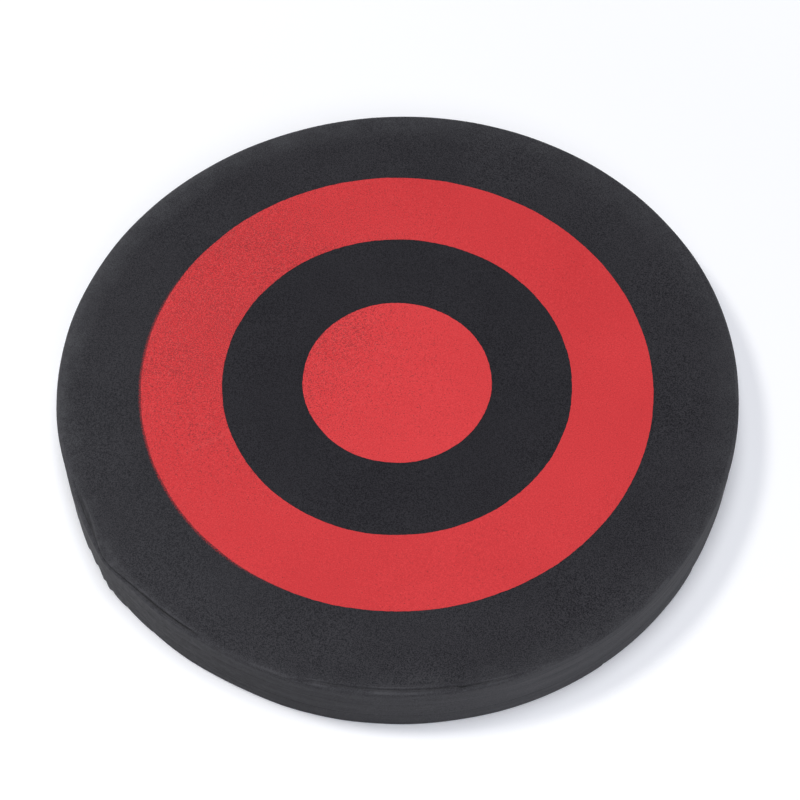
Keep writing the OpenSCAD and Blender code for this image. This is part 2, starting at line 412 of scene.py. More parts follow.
def woven_material(name, slot, dark, light, pitch, twill=False):
    """Woven fabric: threads of the given pitch along X and Y, each yarn a little uneven."""
    nodes = Nodes(name, slot, 0.7, Sheen_Weight=0.12, Sheen_Roughness=0.4, Specular_IOR_Level=0.3)
    x, y, _ = nodes.xyz()
    turn = 2 * math.pi / pitch
    if twill:
        y = nodes.plus(y, nodes.times(x, 0.5))
    along = nodes.math("SINE", nodes.times(x, turn))
    across = nodes.math("SINE", nodes.times(y, turn))
    weave = nodes.spread(nodes.times(along, across), -1.0, 1.0)
    fuzz = nodes.noise(2400, detail=2.0, rough=0.7)
    height = nodes.plus(nodes.times(weave, 0.75), nodes.times(fuzz, 0.5))
    tone = nodes.plus(height, nodes.times(nodes.noise(60, detail=3.0), 0.35))
    colour = nodes.mix(nodes.spread(tone, 0.35, 1.25), dark, light)
    return nodes.finish(colour, height, depth=0.3 * MM, strength=0.7)


def fuzzy_material(name, slot, dark, light, roughness):
    """Napped or moulded tape, mottled by its short fibres."""
    nodes = Nodes(name, slot, roughness, Sheen_Weight=0.35, Sheen_Roughness=0.5)
    fibres = nodes.noise(1900, detail=3.0, rough=0.75)
    clumps = nodes.noise(260, detail=3.0)
    height = nodes.plus(nodes.times(fibres, 0.7), nodes.times(clumps, 0.4))
    return nodes.finish(nodes.mix(nodes.spread(height, 0.35, 0.8), dark, light), height, 0.4 * MM, 0.8)


def thread_material(name, slot, dark, light):
    """Twisted sewing thread."""
    nodes = Nodes(name, slot, 0.55, Sheen_Weight=0.2)
    x, y, _ = nodes.xyz()
    twist = nodes.math("SINE", nodes.times(nodes.plus(x, y), 9000.0))
    height = nodes.plus(nodes.times(twist, 0.4), nodes.noise(1500))
    return nodes.finish(nodes.mix(nodes.spread(height, 0.1, 0.9), dark, light), height, 0.1 * MM, 0.6)


FOAM = foam_material("foam_black", "foam")
add_overspray(FOAM, INK_DARK)
CORE = foam_material("foam_core", "core")
INK = ink_material()
ELASTIC = woven_material(
    "elastic_black", "elastic", (0.006, 0.006, 0.007), (0.030, 0.030, 0.033), pitch=1.1 * MM,
)
COVER = woven_material(
    "sleeve_nylon", "cover", (0.010, 0.010, 0.011), (0.040, 0.040, 0.044), pitch=0.7 * MM,
)
WEBBING = woven_material(
    "webbing_black", "webbing", (0.007, 0.007, 0.008), (0.034, 0.034, 0.037), pitch=1.6 * MM, twill=True,
)
ANCHOR = woven_material(
    "anchor_weave", "anchor", (0.020, 0.020, 0.021), (0.060, 0.060, 0.062), pitch=2.2 * MM,
)
HOOKS = fuzzy_material("hook_tape", "hook_tape", (0.008, 0.008, 0.009), (0.034, 0.034, 0.036), 0.5)
LOOPS = fuzzy_material("loop_tape", "loop_tape", (0.008, 0.008, 0.009), (0.042, 0.042, 0.045), 0.85)
THREAD = thread_material("thread_grey", "thread", (0.05, 0.05, 0.055), (0.15, 0.15, 0.16))

# ------------------------ camera, light and floor


# The camera's place from the middle of the print: right, back and up; its tilt from straight down
# in degrees; its focal length and sensor in mm
CAMERA_RIGHT = 1.6 * MM
CAMERA_BACK = 636.3 * MM
CAMERA_UP = 1000.7 * MM
CAMERA_TILT = 31.93
CAMERA_LENS = 95.47
CAMERA_SENSOR = 36
COOL = (0.95, 0.965, 1.0)
WARM = (1.0, 0.985, 0.94)


def set_camera():
    """Looks down at the disc from in front, 58 degrees above the floor, from about 1.2 m."""
    lens = bpy.data.cameras.new("camera")
    lens.lens = CAMERA_LENS
    lens.sensor_width = CAMERA_SENSOR
    camera = bpy.data.objects.new("camera", lens)
    camera.location = (PRINT_X + CAMERA_RIGHT, -CAMERA_BACK, RING_HIGH.z + CAMERA_UP)
    camera.rotation_euler = (math.radians(CAMERA_TILT), 0, 0)
    bpy.context.scene.collection.objects.link(camera)
    bpy.context.scene.camera = camera


def area_light(name, place, size, power, colour):
    """A round lamp that faces the middle of the disc's rear face."""
    lamp = bpy.data.lights.new(name, "AREA")
    lamp.shape = "DISK"
    lamp.size = size
    lamp.energy = power
    lamp.color = colour
    light = bpy.data.objects.new(name, lamp)
    light.location = place
    light.rotation_euler = (-Vector(place)).to_track_quat("-Z", "Y").to_euler()
    bpy.context.scene.collection.objects.link(light)


def set_sky():
    """A pale sky, brightest low down, and the plain view transform."""
    world = bpy.data.worlds.new("studio")
    world.use_nodes = True
    tree = world.node_tree
    background = tree.nodes["Background"]
    background.inputs["Color"].default_value = (0.93, 0.94, 1.0, 1)
    height = tree.nodes.new("ShaderNodeSeparateXYZ")
    tree.links.new(tree.nodes.new("ShaderNodeTexCoord").outputs["Generated"], height.inputs[0])
    fall = tree.nodes.new("ShaderNodeMapRange")
    fall.interpolation_type = "SMOOTHSTEP"
    for index, number in enumerate((0.0, 0.4, 0.90, 0.09), start=1):
        fall.inputs[index].default_value = number
    tree.links.new(height.outputs["Z"], fall.inputs["Value"])
    tree.links.new(fall.outputs["Result"], background.inputs["Strength"])
    bpy.context.scene.world = world
    bpy.context.scene.view_settings.view_transform = "Standard"


def set_lights():
    """A soft key from the left, and softer lights from the top and the front."""
    area_light("key", (-0.86, 0.12, 1.80), size=0.40, power=12.4, colour=WARM)
    area_light("top", (-0.02, -0.10, 2.2), size=0.9, power=23.4, colour=COOL)
    area_light("front", (0.25, -1.6, 1.9), size=1.2, power=14.8, colour=COOL)


def set_floor():
    """A pale floor that glows a little, more so farther out, so that it stays white to its edges."""
    nodes = Nodes("floor_white", "floor", 0.8)
    tone = nodes.mix(nodes.noise(3, detail=2.0), (0.92, 0.92, 0.93), (0.94, 0.94, 0.95))
    nodes.finish(tone)
    out = nodes.from_point(0, 0)
    near = nodes.spread(out, 0.22, 0.70, 0.13, 0.27)
    far = nodes.spread(out, 0.8, 2.6, 0.0, 0.6)
    nodes.put(nodes.shader.inputs["Emission Strength"], nodes.plus(near, far))
    glow = nodes.mix(nodes.spread(out, 0.25, 1.0), (0.80, 0.85, 1.0), (0.98, 0.985, 1.0))
    nodes.put(nodes.shader.inputs["Emission Color"], glow)
    size, steps = 6.0, 8
    line = np.linspace(-size, size, steps)
    points = [(x, y, 0) for y in line for x in line]
    floor = mesh_piece("floor", points, grid_faces(steps, steps, closed=False), nodes.material)


set_camera()
set_sky()
set_lights()
set_floor()

# ------------------------ the shape of the rim

SEGMENTS = 900
ANGLES = np.arange(SEGMENTS) * 360 / SEGMENTS
COSINES = np.cos(np.radians(ANGLES))
SINES = np.sin(np.radians(ANGLES))
EDGE_ROLL = 3 * MM
# Half of the rolled edge's arc in mm, from its middle to where the face or the wall starts
HALF_ROLL = 2.36

# How the hand-cut outline strays from a true circle: angle, spread in degrees, rise in mm
SWELLS = [
    (22, 12, 0.6), (47, 33, 2.5), (80, 22, 0.7), (120, 14, -0.3), (168, 20, 0.5), (197, 6, -0.5),
    (214, 9, 1.5), (215.5, 3.2, 1.2), (243, 11, -1.0), (295, 16, 0.7), (336, 14, -1.3), (358, 6, -0.4),
]
# How far the cut outline lies outside the designed circle all round
STRETCH = 0.45 * MM
# Small steps left by the knife along the rear edge: angle, depth in mm
NICKS = [
    (201, 0.4), (207.3, 0.9), (210.5, 1.1), (213.5, 0.9), (215.7, 1.1), (219.5, 0.4), (226, 0.3),
    (305, 0.4), (328.5, 0.35), (349, 0.5),
]


def outline(angle):
    """The disc's radius at an angle."""
    radius = np.full(np.shape(angle), PAD_R + STRETCH)
    for centre, width, rise in SWELLS:
        radius = radius + rise * MM * bump(angle, centre, width)
    return radius


def nicks(angle, z):
    """How far the knife's steps cut into the rear edge."""
    fade = math.exp(-((z / (5 * MM)) ** 2))
    depth = np.zeros(np.shape(angle))
    for centre, cut in NICKS:
        away = (angle - centre + 180) % 360 - 180
        depth = depth + cut * MM * smooth(away, -0.25, 0.05) * np.exp(-np.clip(away, 0, None) / 1.6)
    return depth * fade


def crease_depth(angle, along):
    """The creases pressed into the rolled edge, at a distance along the edge's profile in mm.

    along is 0 at the middle of the roll, negative on the face and positive down the wall."""
    path = -2.5 + 1.6 * smooth(angle, 207, 214) + 2.1 * bump(angle, 217, 5)
    width = 0.75 + 0.45 * bump(angle, 211, 7)
    shown = smooth(angle, 199, 206) * (1 - smooth(angle, 233, 239))
    groove = 2.2 * np.exp(-(((along - path) / width) ** 2))
    lip = 0.6 * np.exp(-(((along - path + 2.6) / 1.4) ** 2))
    depth = shown * (groove - lip)

    path = -2.4 + 4.5 * bump(angle, 251, 4) + 0.9 * smooth(angle, 279.6, 280.4)
    shown = smooth(angle, 246, 262) * (1 - smooth(angle, 280, 294))
    groove = 1.15 * np.exp(-(((along - path) / 0.6) ** 2))
    lip = 0.35 * np.exp(-(((along - path + 1.5) / 0.9) ** 2))
    depth = depth + shown * (groove - lip)
    depth = depth + 2.3 * bump(angle, 280, 0.6) * np.exp(-(((along + 1.2) / 1.2) ** 2))

    # Along the right, a lip at the edge with a shallow groove below it, and a lip down the wall
    shown = smooth(angle, 284, 296) * (1 - smooth(angle, 342, 354))
    lower = 7.5 - 2.5 * bump(angle, 300, 12)
    for path, rise, width in ((0.2, 0.22, 0.7), (2.2, -0.16, 0.8), (lower, 0.20, 0.7)):
        depth = depth - shown * rise * np.exp(-(((along - path) / width) ** 2))
    return depth * MM


def wall_ripple(points):
    """How far the cut wall ripples in and out, in long low waves round the disc."""
    return wobble(points * (1, 1, 5), 42, 3.1) * 0.22 * MM


def wall_row(z, inset=0.0):
    """One ring of the disc's outer wall: x, y and z at every angle."""
    radius = outline(ANGLES) - inset - nicks(ANGLES, z)
    points = np.stack([radius * COSINES, radius * SINES, np.full(SEGMENTS, z)], axis=1)
    along = (FACE_Z - z) / MM - EDGE_ROLL / MM + HALF_ROLL
    radius = radius + wall_ripple(points) - crease_depth(ANGLES, along)
    return np.stack([radius * COSINES, radius * SINES, points[:, 2]], axis=1)


def face_height(points, deep=0.28 * MM):
    """How far the striking face rises and falls: the foam sheet is not quite flat."""
    return deep * wobble(points, 19, 7.7) + 0.3 * deep * wobble(points, 70, 1.3)


def flat_row(share, z):
    """One ring of a level face at a share of the outline's radius."""
    radius = outline(ANGLES) * share
    return np.stack([radius * COSINES, radius * SINES, np.full(SEGMENTS, z)], axis=1)


def face_rows():
    """The rings of the striking face and its rolled edge, from near the centre out and down."""
    rows = []
    for radius in np.concatenate([np.arange(6, 180, 6), np.arange(180, 186.9, 0.4)]) * MM:
        share = radius / (PAD_R - EDGE_ROLL)
        ring = (outline(ANGLES) - EDGE_ROLL) * share
        points = np.stack([ring * COSINES, ring * SINES, np.full(SEGMENTS, FACE_Z)], axis=1)
        along = -(PAD_R - EDGE_ROLL - radius) / MM - HALF_ROLL
        points[:, 2] += face_height(points) - crease_depth(ANGLES, along)
        rows.append(points)
    for turn in np.linspace(0, math.pi / 2, 17):
        inset = EDGE_ROLL * (1 - math.sin(turn))
        drop = EDGE_ROLL * (1 - math.cos(turn))
        ring = outline(ANGLES) - inset
        points = np.stack([ring * COSINES, ring * SINES, np.full(SEGMENTS, FACE_Z - drop)], axis=1)
        along = (turn - math.pi / 4) * EDGE_ROLL / MM
        pressed = crease_depth(ANGLES, along)
        flat = 1 - turn / (math.pi / 2)
        ring = ring - pressed * math.sin(turn) + (1 - flat) * wall_ripple(points)
        height = points[:, 2] - pressed * math.cos(turn)
        points = np.stack([ring * COSINES, ring * SINES, height], axis=1)
        points[:, 2] += face_height(points) * flat
        rows.append(points)
    return rows


def shell(name, rows, material):
    """A closed solid from rings of points, from the middle of its top face to that of its base."""
    points = np.concatenate(rows)
    faces = grid_faces(len(rows), SEGMENTS)
    top, base = len(points), len(points) + 1
    centres = [(0, 0, row[:, 2].mean()) for row in (rows[0], rows[-1])]
    points = np.concatenate([points, centres])
    last = (len(rows) - 1) * SEGMENTS
    for i in range(SEGMENTS):
        after = (i + 1) % SEGMENTS
        faces.append((top, after, i))
        faces.append((base, last + i, last + after))
    return mesh_piece(name, points, faces, material)


# How far each glued joint between two foam layers is set into the wall
SEAM = 0.08 * MM


def foam_front():
    rows = face_rows()
    for z in np.arange(FACE_Z - EDGE_ROLL - 0.35 * MM, FRONT_LOW.z + 0.5 * MM, -0.35 * MM):
        rows.append(wall_row(z))
    rows.append(wall_row(FRONT_LOW.z + 0.25 * MM))
    rows.append(wall_row(FRONT_LOW.z, SEAM))
    rows += [flat_row(share, FRONT_LOW.z) for share in (0.96, 0.7, 0.35)]
    return shell("foam_front", rows, FOAM.material)


def foam_middle():
    rows = [flat_row(share, CORE_HIGH.z) for share in (0.35, 0.7, 0.96)]
    rows.append(wall_row(CORE_HIGH.z, SEAM))
    for z in np.arange(CORE_HIGH.z - 0.25 * MM, CORE_LOW.z + 0.3 * MM, -0.6 * MM):
        rows.append(wall_row(z))
    rows.append(wall_row(CORE_LOW.z, SEAM))
    rows += [flat_row(share, CORE_LOW.z) for share in (0.96, 0.8, 0.6, 0.4, 0.2)]
    return shell("foam_middle", rows, CORE.material)


def rounded_rect(length, width, corner, step=2.5 * MM):
    """Points round a rectangle with round corners, centred on the origin, with outward normals."""
    points = []
    for quarter, (sx, sy) in enumerate(((1, 1), (-1, 1), (-1, -1), (1, -1))):
        cx, cy = sx * (length / 2 - corner), sy * (width / 2 - corner)
        for i in range(9):
            turn = math.radians(quarter * 90 + i * 90 / 8)
            nx, ny = math.cos(turn), math.sin(turn)
            points.append((cx + corner * nx, cy + corner * ny, nx, ny))
    evened = []
    for a, b in zip(points, points[1:] + points[:1]):
        gap = math.hypot(b[0] - a[0], b[1] - a[1])
        count = max(1, round(gap / step))
        for i in range(count):
            t = i / count
            evened.append(tuple(a[k] * (1 - t) + b[k] * t for k in range(4)))
    return np.array(evened)


def well_rows(y, length):
    """The rings of a well's cut wall from the core down to the rear face, its lower edge softened."""
    ring = rounded_rect(length, WELL_W, WELL_CORNER)
    heights = np.concatenate([np.linspace(BACK_HIGH.z, 1.2 * MM, 14), [0.6 * MM, 0.2 * MM, 0.0]])
    rows = []
    for z in heights:
        flare = 1.1 * MM * max(0.0, 1 - z / (1.2 * MM)) ** 2
        level = np.stack([ring[:, 0], ring[:, 1] + y, np.full(len(ring), z)], axis=1)
        cut = wobble(level * (1, 1, 3), 60, 5.5) * 0.25 * MM
        level[:, :2] += ring[:, 2:] * (flare + cut)[:, None]
        rows.append(level)
    return rows


def fill_between(outer, holes, z, spacing):
    """Triangles that fill an outline less its holes at one height, with points inside it."""
    loops = [outer] + holes
    points, edges = [], []
    for loop in loops:
        start = len(points)
        points += [Vector(p[:2]) for p in loop]
        edges += [(start + i, start + (i + 1) % len(loop)) for i in range(len(loop))]
    rim_count = len(points)
    line = np.arange(-PAD_R, PAD_R, spacing)
    clear = spacing * 0.6
    reach = np.hypot(np.array(outer)[:, 0], np.array(outer)[:, 1]).min() - clear
    boxes = [(h[:, :2].min(axis=0) - clear, h[:, :2].max(axis=0) + clear) for h in holes]

    def in_hole(x, y):
        return any(low[0] < x < high[0] and low[1] < y < high[1] for low, high in boxes)

    for row, y in enumerate(line):
        for x in line + (row % 2) * spacing / 2:
            if math.hypot(x, y) < reach and not in_hole(x, y):
                points.append(Vector((x, y)))
    made = delaunay_2d_cdt(points, edges, [], 0, 1e-7)
    coords, triangles, sources = made[0], made[2], made[3]
    kept = []
    for triangle in triangles:
        centre = sum((coords[i] for i in triangle), Vector((0, 0))) / 3
        inside = math.hypot(*centre) < PAD_R + 5 * MM
        rim = [s for i in triangle for s in sources[i] if s < rim_count]
        hole = False
        for index, loop in enumerate(holes):
            start = len(outer) + sum(len(h) for h in holes[:index])
            if len(rim) == 3 and all(start <= s < start + len(loop) for s in rim):
                hole = True
            elif in_outline(centre, loop):
                hole = True
        if inside and not hole:
            kept.append(triangle)
    return [(c.x, c.y, z) for c in coords], kept


def in_outline(point, loop):
    """Whether a point lies inside a closed outline."""
    x, y = point
    ax, ay = loop[:, 0], loop[:, 1]
    bx, by = np.roll(ax, -1), np.roll(ay, -1)
    crosses = ((ay > y) != (by > y)) & (x < (bx - ax) * (y - ay) / (by - ay + 1e-12) + ax)
    return bool(crosses.sum() % 2)


def foam_rear():
    """The rear layer: its wall, both wells and the faces between them, welded into one solid."""
    walls = [wall_row(BACK_HIGH.z, SEAM)]
    for z in np.arange(BACK_HIGH.z - 0.25 * MM, 1.2 * MM, -0.6 * MM):
        walls.append(wall_row(z))
    walls += [wall_row(0.45 * MM, 0.25 * MM), wall_row(0.0, 0.9 * MM)]
    wells = [well_rows(HAND_Y, HAND_WELL_L), well_rows(ARM_Y, ARM_WELL_L)]
    points, faces = [], []

    def take(new_points, new_faces):
        start = len(points)
        points.extend(tuple(p) for p in new_points)
        faces.extend(tuple(start + i for i in face) for face in new_faces)

    take(np.concatenate(walls), grid_faces(len(walls), SEGMENTS))
    for rows in wells:
        take(np.concatenate(rows), grid_faces(len(rows), len(rows[0])))
    take(*fill_between(walls[-1], [rows[-1] for rows in wells], 0.0, 7 * MM))
    take(*fill_between(walls[0], [rows[0] for rows in wells], BACK_HIGH.z, 14 * MM))
    piece = mesh_piece("foam_rear", points, faces, FOAM.material)
    welded = bmesh.new()
    welded.from_mesh(piece.data)
    bmesh.ops.remove_doubles(welded, verts=welded.verts, dist=1e-6)
    bmesh.ops.recalc_face_normals(welded, faces=welded.faces)
    welded.to_mesh(piece.data)
    welded.free()
    return piece


def foam_layer(piece, node):
    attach(piece, "pad")
    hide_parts(node)


foam_layer(foam_front(), "front_foam")
foam_layer(foam_middle(), "core_foam")
foam_layer(foam_rear(), "back_foam")

# ------------------------ the print

# How far the ink film stands above the face
INK_LIFT = 0.12 * MM


def print_edge(radius, seed):
    """A printed circle's radius at every angle, a little uneven where the ink crept or dragged."""
    circle = np.stack([radius * COSINES, radius * SINES, np.zeros(SEGMENTS)], axis=1)
    return radius + 0.28 * MM * wobble(circle, 55, seed) + 0.16 * MM * wobble(circle, 420, seed + 4)


def ink_ring_points(radius, z_drop=0.0):
    points = np.stack([PRINT_X + radius * COSINES, radius * SINES, np.full(SEGMENTS, FACE_Z)], axis=1)
    points[:, 2] += face_height(points) + INK_LIFT - z_drop
    return points


def print_ring():
    """The ring as a thin closed film that follows the face."""
    inner, outer = print_edge(RING_INNER_R, 11.0), print_edge(RING_OUTER_R, 23.0)
    shares = np.concatenate([[0, 0.003], np.linspace(0.02, 0.98, 11), [0.997, 1]])
    rows = [ink_ring_points(inner + (outer - inner) * t) for t in shares]
    rows += [ink_ring_points(inner + (outer - inner) * t, INK_LIFT * 1.5) for t in shares[::-1]]
    faces = grid_faces(len(rows), SEGMENTS)
    last = (len(rows) - 1) * SEGMENTS
    faces += [(last + i, last + (i + 1) % SEGMENTS, (i + 1) % SEGMENTS, i) for i in range(SEGMENTS)]
    return mesh_piece("print_ring", np.concatenate(rows), faces, INK.material)


def print_dot():
    """The centre dot as a thin closed film that follows the face."""
    edge = print_edge(DOT_R, 37.0)
    shares = (0.12, 0.3, 0.5, 0.7, 0.88, 0.98, 0.997, 1.0)
    rows = [ink_ring_points(edge * t) for t in shares]
    rows += [ink_ring_points(edge * t, INK_LIFT * 1.5) for t in shares[::-1]]
    return shell("print_dot", rows, INK.material)


for film, node in ((print_ring(), "target_ring"), (print_dot(), "target_dot")):
    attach(film, "pad")
    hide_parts(node)

# ------------------------ straps


def strip(name, path, width, thickness, y, material, relief=None, across=40, edge=0.5):
    """A closed flat strap along a path of (x, z) points, centred on y.

    relief(along, side) gives the height of the weave in metres at a distance along the path and
    across the strap. edge is how round its two long edges are, as a share of the thickness."""
    path = np.asarray(path, float)
    steps = np.gradient(path, axis=0)
    steps /= np.linalg.norm(steps, axis=1)[:, None]
    normals = np.stack([-steps[:, 1], steps[:, 0]], axis=1)
    if normals[:, 1].mean() < 0:
        normals = -normals
    run = np.concatenate([[0], np.cumsum(np.linalg.norm(np.diff(path, axis=0), axis=1))])
    half = width / 2
    sides = np.linspace(-half, half, across)
    ring = [(s, 1.0) for s in sides] + [(s, -1.0) for s in sides[::-1]]
    rows = []
    for (x, z), (nx, nz), along in zip(path, normals, run):
        row = []
        for side, face in ring:
            round_off = math.sqrt(max(0.0, 1 - (abs(side) / half) ** (2 / max(edge, 0.02) * 6)))
            lift = thickness / 2 * (0.35 + 0.65 * round_off)
            if relief is not None:
                lift += relief(along, side)
            row.append((x + nx * lift * face, y + side, z + nz * lift * face))
        rows.append(row)
    count = len(ring)
    faces = grid_faces(len(rows), count)
    for end in (0, (len(rows) - 1) * count):
        for i in range(across - 1):
            other = count - 1 - i
            faces.append((end + i, end + i + 1, end + other - 1, end + other))
    return mesh_piece(name, [p for row in rows for p in row], faces, material)


def eased(start, end, count):
    """Points from start to end whose height eases in and out."""
    t = np.linspace(0, 1, count)
    x = start[0] + (end[0] - start[0]) * t
    z = start[1] + (end[1] - start[1]) * smooth(t, 0, 1)
    return np.stack([x, z], axis=1)


def ribs(along, side):
    """Lengthwise ribs of elastic, crossed by the finer weft."""
    rib = 0.10 * MM * math.cos(side * 2 * math.pi / (1.9 * MM))
    weft = 0.03 * MM * math.cos(along * 2 * math.pi / (1.2 * MM))
    return rib + weft


def herringbone(along, side):
    """The raised V pattern of heavy webbing."""
    fold = abs((side / (12 * MM)) % 2 - 1) * 12 * MM
    return 0.09 * MM * math.cos((along + fold) * 2 * math.pi / (2.6 * MM))


def nap(along, side):
    """The uneven surface of hook or loop tape."""
    return 0.05 * MM * noise.noise(Vector((along * 700, side * 700, 0)))


def hand_band(side):
    """Half of the elastic hand band, from the middle of the sleeve to its sewn end."""
    band_z = (BAND_LOW.z + BAND_HIGH.z) / 2
    lead_x, end_x = BAND_HIGH.x - 4 * MM, HAND_WELL_L / 2 + 1 * MM
    path = np.concatenate([
        eased((0, band_z), (lead_x, band_z), 30)[:-1],
        eased((lead_x, band_z), (end_x, TAIL_MID_Z), 30)[:-1],
        eased((end_x, TAIL_MID_Z), (TAILS_HIGH.x, TAIL_MID_Z), 30),
    ])
    path[:, 0] *= side
    word = "right" if side > 0 else "left"
    band = strip(f"hand_band_{word}", path, BAND_W, STRAP_T, HAND_Y, ELASTIC.material, ribs, across=81)
    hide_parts("hand_band_tails", "hand_band_sides", "hand_band_middle")
    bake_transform(band)


# The sleeve's two seams: their distance from its middle, their height, and half their thickness
SEAM_Y = 19.4 * MM
SEAM_Z = (BAND_LOW.z + BAND_HIGH.z) / 2
SEAM_HALF = 1.2 * MM


def sleeve_height(x, y, side):
    """How far the sleeve's cloth lies above (side 1) or below (side -1) the plane of its seams:
    full over its foam strip, close to the band below, thin at the seams and flat hems."""
    half_l = (SLEEVE_HIGH.x - SLEEVE_LOW.x) / 2
    half_w = (SLEEVE_HIGH.y - SLEEVE_LOW.y) / 2
    room = SLEEVE_HIGH.z - SEAM_Z if side > 0 else SEAM_Z - SLEEVE_LOW.z
    from_seam = abs(y) / SEAM_Y
    if from_seam >= 1:
        return SEAM_HALF * math.sqrt(max(0.0, 1 - ((abs(y) - SEAM_Y) / (half_w - SEAM_Y)) ** 3))
    end = 0.5 + 0.5 * float(smooth(half_l - abs(x), 0, 10 * MM))
    pulled = math.exp(-(SEAM_Y - abs(y)) / (4 * MM))
    pucker = 0.40 * MM * pulled * noise.noise(Vector((x * 300, y * 60, 2.0 + side)))
    creases = 0.30 * MM * noise.noise(Vector((x * 75, y * 130, 5.0 + side)))
    full = (room - SEAM_HALF - 0.2 * MM) * end * (1 - from_seam ** 2.6) ** 0.6
    return SEAM_HALF + max(0.0, full + (pucker + creases) * (1 - from_seam))


def puff(piece, held, push, most):
    """Blows a closed fabric form up with the cloth solver, with its held points fixed."""
    start = [v.co.copy() for v in piece.data.vertices]
    group = piece.vertex_groups.new(name="held")
    group.add(held, 1.0, "REPLACE")
    cloth = piece.modifiers.new("cloth", "CLOTH")
    cloth.settings.vertex_group_mass = "held"
    cloth.settings.use_pressure = True
    cloth.settings.uniform_pressure_force = push
    cloth.settings.effector_weights.gravity = 0
    scene = bpy.context.scene
    for frame_number in range(1, 21):
        scene.frame_set(frame_number)
    blown = piece.evaluated_get(bpy.context.evaluated_depsgraph_get()).data
    moved = [v.co.copy() for v in blown.vertices]
    piece.modifiers.remove(cloth)
    piece.vertex_groups.remove(group)
    scene.frame_set(1)
    for vertex, was, now in zip(piece.data.vertices, start, moved):
        step = now - was
        if step.length > most:
            step *= most / step.length
        vertex.co = was + step


def grip_sleeve():
    """The padded sleeve: woven cloth sewn along two seams over its foam strip, and blown full."""
    half_l = (SLEEVE_HIGH.x - SLEEVE_LOW.x) / 2
    half_w = (SLEEVE_HIGH.y - SLEEVE_LOW.y) / 2
    near_hem = np.linspace(-half_w, -SEAM_Y, 6)[:-1]
    far_hem = np.linspace(SEAM_Y, half_w, 6)[1:]
    across = np.concatenate([near_hem, np.linspace(-SEAM_Y, SEAM_Y, 33), far_hem])
    ring = [(y, 1) for y in across] + [(y, -1) for y in across[::-1][1:-1]]
    spots = np.linspace(-half_l, half_l, 74)
    rows = []
    for x in spots:
        rows.append([(x, HAND_Y + y, SEAM_Z + side * sleeve_height(x, y, side)) for y, side in ring])
    for end in (-1, 1):
        lip = []
        for y, side in ring:
            inner = max(0.0, sleeve_height(end * half_l, y, side) - 0.5 * MM)
            lip.append((end * (half_l - 2.5 * MM), HAND_Y + y * 0.97, SEAM_Z + side * inner * 0.8))
        if end < 0:
            rows.insert(0, lip)
        else:
            rows.append(lip)
    count = len(ring)
    faces = grid_faces(len(rows), count)
    faces.append(tuple(range(count)))
    faces.append(tuple((len(rows) - 1) * count + i for i in range(count)))
    sleeve = mesh_piece("grip_sleeve", [p for row in rows for p in row], faces, COVER.material)
    held = []
    for index in range(len(rows) * count):
        row, spot = divmod(index, count)
        if abs(ring[spot][0]) >= SEAM_Y - 0.1 * MM or row < 2 or row > len(rows) - 3:
            held.append(index)
    puff(sleeve, held, push=4.0, most=0.4 * MM)
    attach(sleeve, "hand_grip")
    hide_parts("grip_cover")


def stitches(name, runs, body, node, radius=0.32 * MM, length=3.0 * MM, gap=0.8 * MM):
    """Rows of thread stitches. runs are (start, end) points; each stitch is a short bowed capsule."""
    points, faces = [], []
    slices, sides = 7, 8
    for start, end in runs:
        start, end = Vector(start), Vector(end)
        way = (end - start).normalized()
        side = way.cross(Vector((0, 0, 1)))
        count = max(1, int((end - start).length / (length + gap)))
        pitch = (end - start).length / count
        for k in range(count):
            middle = start + way * pitch * (k + 0.5)
            first = len(points)
            for j in range(slices):
                t = j / (slices - 1) * 2 - 1
                thick = radius * math.sqrt(max(0.06, 1 - t ** 4))
                centre = middle + way * t * (pitch - gap) / 2 + Vector((0, 0, radius * 0.7 * t * t))
                for i in range(sides):
                    turn = 2 * math.pi * i / sides
                    rise = Vector((0, 0, thick * math.sin(turn)))
                    points.append(centre + side * thick * math.cos(turn) + rise)
            last = first + (slices - 1) * sides
            faces += [tuple(first + i for i in f) for f in grid_faces(slices, sides)]
            faces.append(tuple(first + i for i in range(sides)))
            faces.append(tuple(last + i for i in range(sides)))
    thread = mesh_piece(name, points, faces, THREAD.material)
    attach(thread, body)
    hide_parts(node)


def stitch_frame(low, high, z, inset):
    """The four runs of stitching round a patch, seen from below."""
    x0, x1, y0, y1 = low.x + inset, high.x - inset, low.y + inset, high.y - inset
    corners = [(x0, y0, z), (x1, y0, z), (x1, y1, z), (x0, y1, z)]
    return list(zip(corners, corners[1:] + corners[:1]))


def tape_stitches(name, body, node):
    """The frame of stitching that holds a tape patch."""
    low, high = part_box(node)
    stitches(name, stitch_frame(low, high, low.z + 0.25 * MM, 0.4 * MM), body, node)


def sleeve_stitches():
    """The two seams of the sleeve."""
    low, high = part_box("grip_stitching")
    z = SEAM_Z - SEAM_HALF - 0.12 * MM
    runs = []
    for side in (-1, 1):
        y = HAND_Y + side * SEAM_Y
        runs.append(((low.x, y, z), (high.x, y, z)))
    stitches("sleeve_stitches", runs, "hand_grip", "grip_stitching")


def joint_row(name):
    """A joint's row in the record."""
    return next(j for j in frame["joints"] if j["name"] == name)


